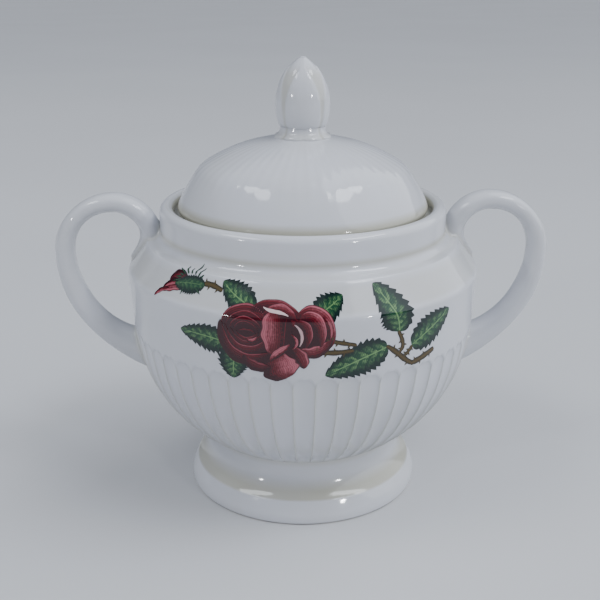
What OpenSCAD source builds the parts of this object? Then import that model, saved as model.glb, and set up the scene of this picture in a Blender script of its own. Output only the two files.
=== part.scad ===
// Covered sugar bowl in glazed earthenware: a reeded bowl on a pedestal foot, two loop handles and a
// domed lid with a bud-shaped finial. Millimetres, +Z up. The origin is on the table, under the middle
// of the foot. X runs through both handles and the front faces -Y.

/* [Bowl] */
// Widest diameter of the bowl, at the crease under the shoulder
body_d = 112.6; // [92:0.2:136]
// Height of the crease above the table
crease_h = 75.5; // [62:0.5:92]
// Height of the smooth band between the crease and the reeds
band_h = 18.5; // [14:0.5:24]
// Height of the shoulder above the crease
shoulder_h = 8.8; // [6:0.1:11]
// How far the shoulder runs in from the crease
shoulder_w = 7.2; // [5:0.1:9]
// Height of the hollow curve between the shoulder and the neck
cove_h = 3.2; // [2:0.1:5]
// Width of that hollow curve
cove_w = 3.6; // [2:0.1:5]
// Height of the neck band, up to the rim
neck_h = 8; // [6:0.1:10]
// Thickness of the rim
rim_t = 4.5; // [3.4:0.1:5.6]
// Thickness of the pottery wall
wall_t = 4.2; // [3:0.1:5.4]
// Thickness of the floor inside the bowl
floor_t = 5; // [3.5:0.1:7]

/* [Reeds] */
// Number of reeds round the lower half of the bowl
reed_count = 54; // [24:1:72]
// Width of the groove between two reeds
groove_w = 1.1; // [0.6:0.1:1.6]
// Depth of the groove between two reeds
groove_depth = 0.7; // [0.3:0.1:1.2]
// Turn of the row of reeds round the bowl
reed_turn = 1.5; // [0:0.1:7]

/* [Foot] */
// Widest diameter of the foot
foot_d = 76.5; // [62:0.5:92]
// Height of the pedestal, up to the underside of the bowl
foot_h = 18.4; // [15:0.2:23]
// Height of the rounded band round the foot
foot_band_h = 7.3; // [6:0.1:9]
// How far the foot spreads beyond the waist
foot_spread = 6.7; // [5:0.1:9]
// Thickness of the foot ring where it stands
foot_ring_t = 4.4; // [3:0.1:6]

/* [Lid] */
// Depth of the ledge that the lid rests on, below the rim
seat_depth = 3.3; // [2.6:0.1:5]
// Width of that ledge
ledge_w = 4.4; // [3.5:0.1:5.5]
// Gap between the edge of the lid and the rim
lid_gap = 1.5; // [0.6:0.1:2]
// Thickness of the lid
lid_t = 3.4; // [2.6:0.1:4.4]
// Radius of the side of the lid, seen from the front
lid_side_r = 58; // [48:0.5:70]
// Radius of the turn from the side of the lid to its crown
lid_knee_r = 12.7; // [9:0.1:16]
// Depth of the ring under the lid
lid_ring_depth = 5.5; // [3:0.1:8]
// Gap between that ring and the mouth of the bowl
ring_gap = 0.6; // [0.4:0.1:1.2]

/* [Finial] */
// Widest diameter of the bud
bud_d = 17.0; // [13:0.1:21]
// How far the neck of the bud is cut in on each side
bud_waist = 1.45; // [0.8:0.05:2.2]
// Height of the bud above its widest place
bud_top_h = 14.1; // [11:0.1:18]
// Height of the bud from its neck to its widest place
bud_low_h = 6.8; // [5:0.1:9]
// Height of the collar under the bud
collar_h = 2.9; // [2:0.1:4]
// How far the collar spreads at the lid
collar_w = 2.1; // [1.2:0.1:3]

/* [Handles] */
// How far a handle stands out from the widest part of the bowl
handle_out = 23.2; // [18:0.2:29]
// Height of the top of a handle above the rim
handle_rise = 3.1; // [0:0.1:8]
// Height above the table where the lower end of a handle meets the bowl
handle_low_h = 46; // [40:0.5:52]
// Radius of the small curve at the upper end of a handle
handle_root_r = 12.2; // [9:0.1:14]
// Thickness of a handle, seen from the front
handle_t = 6.2; // [4.5:0.1:7.5]
// Width of a handle, front to back
handle_w = 9.2; // [7.8:0.1:11]

/* [Build] */
// Part to draw, or all of them

/* [Hidden] */
glaze = [0.93, 0.92, 0.87];
shade = [0.89, 0.87, 0.81];
$fn = 96;
// steps in one curve of an outline
steps = 10;
wall_steps = 12;
groove_steps = 7;
// gap between the lid and the ledge it rests on
rest_gap = 0.3;
// how far one piece of pottery is let into the next
bite = 0.6;

// bowl, from the crease down: the band leans in, and the reeds stand a little proud of it
body_r = body_d / 2;
crease_round = 3;
crease_top_a = 40;
band_top_z = crease_h - 1;
band_lean = 0.065;
reed_step = 0.4;
reed_top_z = crease_h - band_h;
band_low_r = body_r - band_lean * band_h;
reed_top_r = band_low_r + reed_step;

// the waist, where the bowl stands on its foot
foot_r = foot_d / 2;
stem_r = foot_r - foot_spread;
waist_step = 1;
waist_r = stem_r + waist_step;

// the reeded wall is one arc from the band down to the waist
bulge_lift = 1.9;
arc_z = reed_top_z + bulge_lift;
arc_drop = arc_z - foot_h;
arc_num = pow(reed_top_r, 2) - pow(waist_r, 2) + pow(bulge_lift, 2) - pow(arc_drop, 2);
arc_x = arc_num / (2 * (reed_top_r - waist_r));
arc_r = sqrt(pow(reed_top_r - arc_x, 2) + pow(bulge_lift, 2));
arc_low_a = atan2(-arc_drop, waist_r - arc_x);
arc_high_a = atan2(-bulge_lift, reed_top_r - arc_x);
groove_over = 4;
groove_stop = 0.5;

// shoulder, neck and rim
shoulder_z = crease_h + shoulder_h;
shoulder_r = body_r - shoulder_w;
shoulder_soft = 0.5;
neck_z = shoulder_z + cove_h;
neck_r = shoulder_r - cove_w;
rim_h = neck_z + neck_h;
lip_r = rim_t / 2;
lip_z = rim_h - lip_r;
seat_r = neck_r - rim_t;
seat_z = rim_h - seat_depth;
mouth_r = seat_r - ledge_w;
ledge_t = 3.4;
ledge_slope = 3;

// inside of the bowl
inner_r = arc_r - wall_t;
inner_band_r = body_r - wall_t;
inner_neck_r = neck_r - wall_t;
inner_shoulder_r = shoulder_r - wall_t * 0.8;
inner_shoulder_z = shoulder_z - wall_t * 0.6;
floor_z = foot_h + floor_t;
floor_round = 10;
round_z = floor_z + floor_round;
round_x = arc_x + sqrt(pow(inner_r - floor_round, 2) - pow(arc_z - round_z, 2));
inner_low_a = atan2(round_z - arc_z, round_x - arc_x);

// foot
foot_edge = 1;
foot_low = 1.6;
foot_curve = 8;
foot_lean = 25;
foot_mid_r = foot_r - foot_curve * (1 - cos(foot_lean));
foot_mid_z = foot_low + foot_curve * sin(foot_lean);
foot_ridge_r = foot_mid_r - (foot_band_h - foot_mid_z) * tan(foot_lean);
waist_z = foot_h - 1.9;
stem_run = foot_ridge_r - stem_r;
stem_rise = waist_z - foot_band_h;
stem_cove = (pow(stem_run, 2) + pow(stem_rise, 2)) / (2 * stem_run);
stem_low_a = 360 + atan2(-stem_rise, stem_run - stem_cove);
hollow_low_r = foot_r - foot_ring_t;
hollow_high_r = stem_r - wall_t - bite;
hollow_lip = 3;

// lid, from its rounded edge over the side and the knee to the crown
lid_r = seat_r - lid_gap;
lid_base_z = seat_z + rest_gap;
edge_round = 2;
edge_a = 25;
side_a = 36;
knee_a = 60;
edge_x = lid_r - edge_round * cos(edge_a);
edge_z = lid_base_z + edge_round;
side_x = edge_x - (lid_side_r - edge_round) * cos(edge_a);
side_z = edge_z - (lid_side_r - edge_round) * sin(edge_a);
knee_x = side_x + (lid_side_r - lid_knee_r) * cos(side_a);
knee_z = side_z + (lid_side_r - lid_knee_r) * sin(side_a);
crown_r = lid_knee_r + knee_x / cos(knee_a);
crown_z = knee_z - (crown_r - lid_knee_r) * sin(knee_a);
lid_top_z = crown_z + crown_r;
ring_r = mouth_r - ring_gap;
ring_t = 3;
ring_edge = 0.9;

// finial: a collar, a bud whose upper half is one arc, and a round tip
bud_r = bud_d / 2;
bud_neck_r = bud_r - bud_waist;
collar_r = bud_neck_r + collar_w;
collar_z = crown_z + sqrt(pow(crown_r, 2) - pow(collar_r, 2));
bud_neck_z = lid_top_z + collar_h;
bud_wide_z = bud_neck_z + bud_low_h;
finial_top_z = bud_wide_z + bud_top_h;
tip_r = 2.2;
bud_rise = bud_top_h - tip_r;
bud_gap = bud_r - tip_r;
ogive_r = (pow(bud_rise, 2) + pow(bud_gap, 2)) / (2 * bud_gap) + tip_r;
ogive_x = bud_r - ogive_r;
tip_a = atan2(bud_rise, -ogive_x);

// handles: a small curve up from the shoulder, a larger one over the top and a wide one back to the bowl
handle_mid = handle_t / 2;
strap_half = (handle_w - handle_t) / 2;
handle_x = body_r + handle_out - handle_mid;
handle_top_z = rim_h + handle_rise - handle_mid;
root_x = neck_r + handle_mid - 0.4;
handle_cx = root_x + handle_root_r;
over_r = handle_x - handle_cx;
root_z = handle_top_z - handle_root_r;
over_z = handle_top_z - over_r;
low_sink = 2.4;
low_x = arc_x + sqrt(pow(arc_r, 2) - pow(arc_z - handle_low_h, 2)) - low_sink;
low_run = handle_x - low_x;
low_drop = over_z - handle_low_h;
back_r = (pow(low_run, 2) + pow(low_drop, 2)) / (2 * low_run);
back_x = handle_x - back_r;
back_a = atan2(-low_drop, low_x - back_x);
// both ends spread where they meet the bowl
root_pad_z = shoulder_z - 10;
root_pad_r = handle_mid + 2.5;
root_pad_top_r = handle_mid + 1;
tail_turn = 27;
tail_x = back_x + back_r * cos(back_a + tail_turn);
tail_z = over_z + back_r * sin(back_a + tail_turn);
tail_run = sqrt(pow(tail_x - low_x, 2) + pow(tail_z - handle_low_h, 2));
tail_lean = atan2(low_x - tail_x, handle_low_h - tail_z);
tail_sink = 6;
tail_r = handle_mid + 3.9;
tail_top_r = handle_mid + 0.8;
knuckle_inset = 0.8;
// pottery left between the end of a handle and the inside of the bowl
keep = 2.4;

function arc(cx, cz, r, a0, a1, n) =
    [for (i = [0:n]) let (a = a0 + (a1 - a0) * i / n) [cx + r * cos(a), cz + r * sin(a)]];

function oval(cx, cz, rx, rz, a0, a1, n) =
    [for (i = [0:n]) let (a = a0 + (a1 - a0) * i / n) [cx + rx * cos(a), cz + rz * sin(a)]];

function bowl_outside() = concat(
    arc(arc_x, arc_z, arc_r, arc_low_a, arc_high_a, wall_steps),
    [[band_low_r, reed_top_z + reed_step]],
    arc(body_r - crease_round, band_top_z, crease_round, 0, crease_top_a, 4),
    [[shoulder_r + shoulder_soft, shoulder_z - shoulder_soft]],
    oval(shoulder_r, neck_z, cove_w, cove_h, 270, 180, steps),
    arc(neck_r - lip_r, lip_z, lip_r, 0, 180, steps),
    [[seat_r, seat_z], [mouth_r, seat_z]]);

function bowl_inside() = concat(
    [[mouth_r, seat_z - ledge_t], [inner_neck_r, seat_z - ledge_t - ledge_slope]],
    [[inner_shoulder_r, inner_shoulder_z]],
    arc(inner_band_r - crease_round, band_top_z - 1, crease_round, crease_top_a, 0, 4),
    arc(arc_x, arc_z, inner_r, -1, inner_low_a, wall_steps),
    arc(round_x, round_z, floor_round, inner_low_a, -90, 6));

module cavity() {
    rotate_extrude()
        polygon(concat(
            [[0, seat_z], [mouth_r + keep, seat_z]],
            [for (p = bowl_inside()) [p[0] + keep, p[1]]],
            [[0, floor_z]]));
}

module groove() {
    rotate([90, 0, 0])
        linear_extrude(height = groove_w, center = true)
            polygon(concat(
                arc(arc_x, arc_z, arc_r - groove_depth, arc_low_a - groove_over, arc_high_a - groove_stop, groove_steps),
                arc(arc_x, arc_z, arc_r + 2, arc_high_a - groove_stop, arc_low_a - groove_over, groove_steps)));
}

module bowl_body() {
    color(glaze)
        difference() {
            rotate_extrude()
                polygon(concat([[0, foot_h]], bowl_outside(), bowl_inside(), [[0, floor_z]]));
            for (i = [0:reed_count - 1])
                rotate([0, 0, reed_turn - 90 + i * 360 / reed_count])
                    groove();
        }
}

module foot() {
    color(shade)
        rotate_extrude()
            polygon(concat(
                [[hollow_low_r, 0]],
                arc(foot_r - foot_edge, foot_edge, foot_edge, -90, 0, 4),
                arc(foot_r - foot_curve, foot_low, foot_curve, 0, foot_lean, 6),
                arc(stem_r + stem_cove, waist_z, stem_cove, stem_low_a, 180, steps),
                [[stem_r, foot_h + bite], [hollow_high_r, foot_h + bite], [hollow_high_r, foot_h - bite]],
                [[hollow_low_r - 1, hollow_lip]]));
}

module strap() {
    polygon(concat(
        arc(0, strap_half, handle_mid, 0, 180, steps),
        arc(0, -strap_half, handle_mid, 180, 360, steps)));
}

module bend(cx, cz, r, a0, a1) {
    translate([cx, 0, cz])
        rotate([90, 0, 0])
            rotate([0, 0, a0])
                rotate_extrude(angle = a1 - a0)
                    translate([r, 0])
                        strap();
}

module root_pad() {
    translate([root_x, 0, root_pad_z])
        cylinder(h = root_z - root_pad_z, r1 = root_pad_r, r2 = root_pad_top_r);
}

module tail_pad() {
    translate([tail_x, 0, tail_z])
        rotate([0, tail_lean, 0])
            cylinder(h = tail_run + tail_sink, r1 = tail_top_r, r2 = tail_r);
}

// the clay is one piece through the places where two curves of a handle meet
module knuckle(x, z) {
    translate([x, 0, z])
        sphere(r = handle_mid - knuckle_inset);
}

module handle() {
    difference() {
        union() {
            bend(handle_cx, root_z, handle_root_r, 90, 180);
            knuckle(handle_cx, handle_top_z);
            bend(handle_cx, over_z, over_r, 0, 90);
            knuckle(handle_x, over_z);
            bend(back_x, over_z, back_r, back_a, 0);
            root_pad();
            tail_pad();
        }
        cavity();
    }
}

module handle_right() {
    color(shade)
        handle();
}

module handle_left() {
    color(shade)
        mirror([1, 0, 0])
            handle();
}

module lid_dome() {
    color(glaze)
        rotate_extrude()
            polygon(concat(
                [[ring_r - ring_t, lid_base_z]],
                arc(edge_x, edge_z, edge_round, -90, edge_a, 6),
                arc(side_x, side_z, lid_side_r, edge_a + 1, side_a, 6),
                arc(knee_x, knee_z, lid_knee_r, side_a + 4, knee_a, 6),
                arc(0, crown_z, crown_r, knee_a + 2, 90, 2 * steps),
                arc(0, crown_z, crown_r - lid_t, 90, knee_a, 2 * steps),
                arc(knee_x, knee_z, lid_knee_r - lid_t, knee_a - 4, side_a, 6),
                arc(side_x, side_z, lid_side_r - lid_t, side_a - 1, edge_a + 3, 4)));
}

module lid_flange() {
    color(shade)
        rotate_extrude()
            translate([ring_r - ring_t, lid_base_z - lid_ring_depth])
                polygon([
                    [ring_edge, 0],
                    [ring_t - ring_edge, 0],
                    [ring_t, ring_edge],
                    [ring_t, lid_ring_depth + bite],
                    [0, lid_ring_depth + bite],
                    [0, ring_edge]]);
}

module lid_finial() {
    color(glaze)
        rotate_extrude()
            polygon(concat(
                [[0, collar_z - 2 * bite], [collar_r - bite, collar_z - 2 * bite], [collar_r, collar_z - bite]],
                oval(collar_r, bud_neck_z, collar_w, bud_neck_z - collar_z, 268, 180, 6),
                oval(bud_neck_r, bud_wide_z, bud_waist, bud_low_h, -84, 0, 8),
                arc(ogive_x, bud_wide_z, ogive_r, 4, tip_a, 2 * steps),
                arc(0, finial_top_z - tip_r, tip_r, tip_a + 6, 90, 5)));
}

bowl_body();
foot();
handle_left();
handle_right();
lid_dome();
lid_flange();
lid_finial();
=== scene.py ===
"""A covered sugar bowl in cream glazed earthenware, with its lid, handles and printed rose spray."""

import math

import bpy
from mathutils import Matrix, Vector


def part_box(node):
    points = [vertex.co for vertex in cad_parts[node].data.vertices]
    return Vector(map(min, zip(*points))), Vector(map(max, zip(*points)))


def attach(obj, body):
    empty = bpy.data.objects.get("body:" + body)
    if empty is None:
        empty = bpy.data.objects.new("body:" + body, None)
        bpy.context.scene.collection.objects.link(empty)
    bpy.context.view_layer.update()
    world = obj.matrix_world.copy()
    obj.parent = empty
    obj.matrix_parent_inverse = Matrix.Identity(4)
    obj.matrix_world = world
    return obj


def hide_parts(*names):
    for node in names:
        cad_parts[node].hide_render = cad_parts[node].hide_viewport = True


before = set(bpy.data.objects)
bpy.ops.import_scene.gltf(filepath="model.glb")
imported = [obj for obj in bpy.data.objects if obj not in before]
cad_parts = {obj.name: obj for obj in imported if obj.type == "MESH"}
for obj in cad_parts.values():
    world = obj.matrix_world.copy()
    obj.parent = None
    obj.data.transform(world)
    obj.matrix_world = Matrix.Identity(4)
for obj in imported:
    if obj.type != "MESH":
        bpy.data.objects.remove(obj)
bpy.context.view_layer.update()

bl_info = {
    "name": "Covered Sugar Bowl",
    "version": (1, 0, 0),
    "blender": (4, 5, 0),
    "location": "3D View > Sidebar > Sugar Bowl",
    "description": "Models a reeded sugar bowl, its domed lid and its printed rose spray",
    "category": "Add Mesh",
}

MM = 0.001
BOWL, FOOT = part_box("bowl_body"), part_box("foot")
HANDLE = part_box("handle_right")
LID, RING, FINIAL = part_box("lid_dome"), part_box("lid_flange"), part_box("lid_finial")

# ---------------------------------------------------------------- measures of the frame, in mm
BODY_R = BOWL[1].y / MM - 0.25
RIM_Z = BOWL[1].z / MM
WAIST_Z = BOWL[0].z / MM
FOOT_R = FOOT[1].x / MM
FOOT_TOP = FOOT[1].z / MM
LID_Z = LID[0].z / MM
LID_TOP = LID[1].z / MM
RING_R = RING[1].x / MM
RING_Z = RING[0].z / MM
COLLAR_R = FINIAL[1].x / MM
FINIAL_TOP = FINIAL[1].z / MM
LOOP_X = HANDLE[1].x / MM
LOOP_Z = HANDLE[1].z / MM


# ---------------------------------------------------------------- the sizes and colours that a user sets
def length(name, description, default):
    """A length in metres, given in millimetres."""
    return bpy.props.FloatProperty(name=name, description=description, default=default * MM, unit="LENGTH",
                                   precision=5)


def tint(name, description, default):
    """A colour."""
    return bpy.props.FloatVectorProperty(name=name, description=description, default=default, size=3,
                                         subtype="COLOR", min=0, max=1)


class SUGARBOWL_PG_bowl(bpy.types.PropertyGroup):
    """Sizes of the bowl and its foot."""
    reeds: bpy.props.IntProperty(name="Reeds", description="How many reeds go round the bowl",
                                 default=54, min=12)
    reed_turn: bpy.props.FloatProperty(name="Reed turn", description="Where the first groove stands",
                                       default=math.radians(1.5), subtype="ANGLE")
    reed_top: length("Reed top", "Height at which the reeds end in arches", 57.4)
    reed_high: length("Reed height", "How far a reed stands out below its arch", 0.68)
    reed_low: length("Reed height, low", "How far a reed stands out near the foot", 1.0)
    groove: length("Groove", "Flat left between two reeds", 0.3)
    lip: length("Lip", "Radius of the rounded lip", 2.25)
    wall: length("Wall", "Thickness of the bowl's wall", 4.2)
    flutes_deep: length("Lid flutes", "Depth of the faint flutes of the lid", 0.1)


class SUGARBOWL_PG_handles(bpy.types.PropertyGroup):
    """Sizes of the two handles."""
    wide: length("Width", "Width of a handle's strap", 9.2)
    fillet: length("Fillet", "Reach of the soft join to the bowl", 1.9)
    clear: length("Join height", "How far from the bowl the join starts", 1.1)


class SUGARBOWL_PG_finial(bpy.types.PropertyGroup):
    """Sizes of the bud on the lid."""
    petals: bpy.props.IntProperty(name="Petals", description="Outer petals of the bud", default=4, min=3)
    petal_step: length("Petal step", "How far an outer petal stands over the inner ones", 0.24)
    scallop: length("Scallop", "Depth of the scallops of the collar", 0.55)


class SUGARBOWL_PG_finish(bpy.types.PropertyGroup):
    """Colours of the glaze and of the print."""
    glaze: tint("Glaze", "Clear glaze over white clay", (0.60, 0.612, 0.655))
    # this colour is partly painted shade: the glaze is mixed towards it in grooves, creases and joins as
    # pooled glaze and shade, and on the rim's inside and the lid's edge as painted shade
    pooled_and_shaded: tint("Pooled glaze and shade", "Glaze where it lies thick", (0.44, 0.43, 0.365))
    clay: tint("Bare clay", "Unglazed clay under the foot", (0.60, 0.52, 0.40))
    petal_dark: tint("Petal shade", "Deep red of the rose", (0.030, 0.001, 0.005))
    petal: tint("Petal", "Red of the rose", (0.125, 0.003, 0.010))
    petal_light: tint("Petal light", "Pink of the rose", (0.44, 0.115, 0.145))
    leaf_dark: tint("Leaf shade", "Blue green of the leaf edges", (0.002, 0.014, 0.012))
    leaf: tint("Leaf", "Green of the leaves", (0.008, 0.062, 0.026))
    leaf_light: tint("Leaf light", "Yellow green between the veins", (0.150, 0.290, 0.105))
    stem: tint("Stem", "Brown of the stems", (0.085, 0.050, 0.010))
    floor: tint("Floor", "Pale studio floor", (0.58, 0.585, 0.60))


class SUGARBOWL_PG_sizes(bpy.types.PropertyGroup):
    """All that is set by hand."""
    bowl: bpy.props.PointerProperty(type=SUGARBOWL_PG_bowl)
    handles: bpy.props.PointerProperty(type=SUGARBOWL_PG_handles)
    finial: bpy.props.PointerProperty(type=SUGARBOWL_PG_finial)
    finish: bpy.props.PointerProperty(type=SUGARBOWL_PG_finish)


def sizes():
    """The settings of this scene."""
    return bpy.context.scene.sugar_bowl


# ---------------------------------------------------------------- outlines: points (radius, height) in mm
def oval(cx, cz, rx, rz, a0, a1, n):
    """Points on an oval from angle a0 to a1, in degrees."""
    angles = [math.radians(a0 + (a1 - a0) * i / n) for i in range(n + 1)]
    return [(cx + rx * math.cos(a), cz + rz * math.sin(a)) for a in angles]


def arc(cx, cz, r, a0, a1, n):
    """Points on an arc of a circle."""
    return oval(cx, cz, r, r, a0, a1, n)


def line(p, q, n):
    """Points on a straight line, both ends among them."""
    return [(p[0] + (q[0] - p[0]) * i / n, p[1] + (q[1] - p[1]) * i / n) for i in range(n + 1)]


SAME_PLACE = 0.004


def run(*parts):
    """One outline from several, without the points that two of them share."""
    points = []
    for part in parts:
        for p in part:
            if not points or math.dist(points[-1], p) > SAME_PLACE:
                points.append(p)
    return points


# the bowl's swell below the band, and where its band, crease, shoulder, cove and neck lie
SWELL_X, SWELL_Z, SWELL_R = 8.363, 58.9, 47.173
BAND_Z, BAND_R = 57.4, 55.10
CREASE_Z, CREASE_ROUND, CREASE_A = RIM_Z - 21, 2.4, 40
EDGE_R, EDGE_Z = 49.35, RIM_Z - 11.45
NECK_R, NECK_Z = 45.5, RIM_Z - 8
SEAT_R, SEAT_Z, MOUTH_R = 41.0, RIM_Z - 3.3, 36.6

# a reed's height at the tip of its arch, how far below that it is full, and how far on it deepens
REED_TIP, REED_EASE, REED_FALL = 0.5, 4, 28
# the floor of the sugar room: its height over the waist, its flat part and its rounding
FLOOR_T, FLOOR_FLAT, FLOOR_ROUND, FLOOR_A = 5, 29.27, 10.0, -50.66


def swell(z):
    """Radius at the crests of the reeds."""
    return SWELL_X + math.sqrt(SWELL_R ** 2 - (SWELL_Z - z) ** 2)


def reed_depth(z):
    """How far the reeds stand out at height z."""
    bowl = sizes().bowl
    high, low, top = bowl.reed_high / MM, bowl.reed_low / MM, bowl.reed_top / MM
    if z > top - REED_EASE:
        return REED_TIP + (high - REED_TIP) * min((top - z) / REED_EASE, 1)
    return high + (low - high) * min((top - REED_EASE - z) / REED_FALL, 1)


def bowl_upper():
    """The bowl's outside from its lip down to the foot of the band."""
    lip = sizes().bowl.lip / MM
    crease_x = BODY_R - CREASE_ROUND
    top = arc(crease_x, CREASE_Z, CREASE_ROUND, CREASE_A, 0, 9)
    return run(arc(NECK_R - lip, RIM_Z - lip, lip, 90, 0, 8),
               line((NECK_R, RIM_Z - lip), (NECK_R, NECK_Z + 0.4), 5),
               oval(EDGE_R - 0.35, NECK_Z, 3.5, 3.15, 180, 262, 10),
               arc(EDGE_R - 0.2, EDGE_Z - 0.75, 0.95, 82, CREASE_A, 5),
               line((EDGE_R + 0.55, EDGE_Z - 0.3), top[0], 9)[1:],
               top,
               line(top[-1], (BAND_R, BAND_Z), 16))


def bowl_base(z):
    """Radius of the grooves' floor at height z."""
    return min(swell(z) - reed_depth(z), BAND_R - 0.02)


def reed_rows():
    """Heights of the rows of points through the reeds, from the arches down."""
    top = sizes().bowl.reed_top / MM
    step, last, closing = 0.9, WAIST_Z + 5, 8
    rows = [top - d for d in (0.0, 0.06, 0.2, 0.45, 0.8, 1.25, 1.8, 2.5, 3.3)]
    while rows[-1] > last:
        rows.append(rows[-1] - step)
    first, low = rows[-1], WAIST_Z + 0.1
    return rows + [first + (low - first) * math.sin(i * math.pi / 2 / closing) for i in range(1, closing + 1)]


def bowl_outside():
    """The whole outside, from the lip to the waist."""
    return run(bowl_upper(), [(bowl_base(z), z) for z in reed_rows()])


def bowl_inside():
    """The inside, from the middle of the floor to the top of the lip."""
    lip, wall = sizes().bowl.lip / MM, sizes().bowl.wall / MM
    floor_z = WAIST_Z + FLOOR_T
    shoulder, throat, ledge_z = (45.74, 81.78), (41.3, 85.8), 88.5
    under, nose, corner = 0.8, 0.9, 0.6
    return run(line((0, floor_z), (FLOOR_FLAT, floor_z), 10),
               arc(FLOOR_FLAT, floor_z + FLOOR_ROUND, FLOOR_ROUND, -90, FLOOR_A, 8),
               arc(SWELL_X, SWELL_Z, SWELL_R - wall, FLOOR_A, -1, 22),
               arc(49.1, CREASE_Z - 1, 3, 0, CREASE_A, 5),
               line(shoulder, throat, 3),
               line(throat, (MOUTH_R + 0.5, ledge_z), 3),
               arc(MOUTH_R + under, ledge_z + under, under, 225, 180, 3),
               arc(MOUTH_R + nose, SEAT_Z - nose, nose, 180, 90, 5),
               line((MOUTH_R + nose, SEAT_Z), (SEAT_R - corner, SEAT_Z), 3),
               arc(SEAT_R - corner, SEAT_Z + corner, corner, -90, 0, 4),
               arc(SEAT_R + lip, RIM_Z - lip, lip, 180, 90, 8))


def nearest(outline, r, z):
    """The nearest place on an outline and how far it is: below nothing on the clay's side."""
    best = None
    for (r0, z0), (r1, z1) in zip(outline, outline[1:]):
        dr, dz = r1 - r0, z1 - z0
        t = max(0.0, min(1.0, ((r - r0) * dr + (z - z0) * dz) / (dr * dr + dz * dz)))
        pr, pz = r0 + dr * t, z0 + dz * t
        gap = math.hypot(r - pr, z - pz)
        if best is None or gap < best[0] - 1e-9:
            best = (gap, pr, pz, dr, dz)
    gap, pr, pz, dr, dz = best
    side = (r - pr) * -dz + (z - pz) * dr
    size = math.hypot(dr, dz)
    return pr, pz, gap if side >= 0 else -gap, (-dz / size, dr / size)


def radius_at(outline, z):
    """Radius of an outline that falls all the way down, at height z."""
    for (r0, z0), (r1, z1) in zip(outline, outline[1:]):
        if z1 <= z <= z0 and z0 > z1:
            return r0 + (r1 - r0) * (z0 - z) / (z0 - z1)
    return outline[0][0] if z > outline[0][1] else outline[-1][0]


_kept = {}


def kept(name, make):
    """An outline that is worked out once, because each of its uses asks for it at every point."""
    if name not in _kept:
        _kept[name] = make()
    return _kept[name]


# ---------------------------------------------------------------- modelling by operators
def begin(name, kind, **where):
    """Adds a primitive, alone in the selection, and opens it for editing."""
    bpy.ops.object.select_all(action="DESELECT")
    getattr(bpy.ops.mesh, f"primitive_{kind}_add")(**where)
    piece = bpy.context.object
    piece.name = piece.data.name = name
    bpy.ops.object.mode_set(mode="EDIT")
    return piece


def pick(*pieces):
    """Selects these pieces alone, the first of them active."""
    bpy.ops.object.select_all(action="DESELECT")
    for piece in pieces:
        piece.select_set(True)
    bpy.context.view_layer.objects.active = pieces[0]


def edit(piece):
    """Opens one piece for editing, with all of it selected."""
    pick(piece)
    bpy.ops.object.mode_set(mode="EDIT")
    bpy.ops.mesh.select_all(action="SELECT")


def close(piece):
    """Merges what lies in one place, turns the faces outwards and leaves the edit."""
    bpy.ops.mesh.select_all(action="SELECT")
    bpy.ops.mesh.remove_doubles(threshold=2e-6)
    bpy.ops.mesh.normals_make_consistent(inside=False)
    bpy.ops.object.mode_set(mode="OBJECT")
    return piece


def draw(name, outline, angle):
    """Draws an outline point by point from a small plane merged to one point, at an angle round the axis."""
    c, s = math.cos(angle), math.sin(angle)
    places = [Vector((r * c, r * s, z)) * MM for r, z in outline]
    piece = begin(name, "plane", size=MM)
    bpy.ops.mesh.merge(type="CENTER")
    bpy.ops.transform.translate(value=places[0])
    for a, b in zip(places, places[1:]):
        bpy.ops.mesh.extrude_vertices_move(TRANSFORM_OT_translate={"value": b - a})
    bpy.ops.mesh.select_all(action="SELECT")
    return piece


def spin(angle, steps=1, copies=False):
    """Spins what is selected round the object's axis."""
    bpy.ops.mesh.spin(steps=steps, angle=angle, dupli=copies, center=(0, 0, 0), axis=(0, 0, 1))


def turned(name, outline, steps):
    """A plain turned piece."""
    piece = draw(name, outline, 0)
    spin(2 * math.pi, steps)
    return close(piece)


def sector(name, outline, turn, count, cuts):
    """One repeat of a turned piece, as columns at uneven places, cuts being shares of the repeat."""
    piece = draw(name, outline, turn)
    for a, b in zip(cuts, cuts[1:]):
        spin((b - a) * 2 * math.pi / count)
    bpy.ops.object.mode_set(mode="OBJECT")
    return piece


def raise_by(piece, heights, most):
    """Raises the points of a piece along their normals, heights being in mm at each point."""
    group = piece.vertex_groups.new(name="raise")
    for i, h in enumerate(heights):
        if h > 0:
            group.add([i], min(h / most, 1), "REPLACE")
    bend = piece.modifiers.new("raise", "DISPLACE")
    bend.direction, bend.mid_level, bend.strength, bend.vertex_group = "NORMAL", 0, most * MM, group.name
    pick(piece)
    bpy.ops.object.modifier_apply(modifier=bend.name)
    piece.vertex_groups.remove(piece.vertex_groups[0])


def all_round(piece, count):
    """Copies one repeat round the axis and joins the copies."""
    edit(piece)
    spin(2 * math.pi * (count - 1) / count, count - 1, copies=True)
    return close(piece)


def column_of(co, turn, count):
    """Where a point stands across its repeat, from -1 to 1, and its radius in mm."""
    a = math.atan2(co.y, co.x) - turn
    a = abs(math.atan2(math.sin(a), math.cos(a)))
    return max(-1.0, min(1.0, a * count / math.pi - 1)), math.hypot(co.x, co.y) / MM


def note(piece, name, values):
    """Writes a number for each point, which a material reads."""
    attribute = piece.data.attributes.new(name, "FLOAT", "POINT")
    attribute.data.foreach_set("value", values)


def smooth(piece, degrees):
    """Shades a piece smooth, but for its sharp edges."""
    pick(piece)
    bpy.ops.object.shade_smooth_by_angle(angle=math.radians(degrees))


def finish_piece(piece, material, body, slot, *nodes):
    """Gives a piece its material and its body, and hides the nodes that it stands for; its slot is not used.
    """
    piece.data.materials.clear()
    piece.data.materials.append(material)
    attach(piece, body)
    if nodes:
        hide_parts(*nodes)


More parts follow.
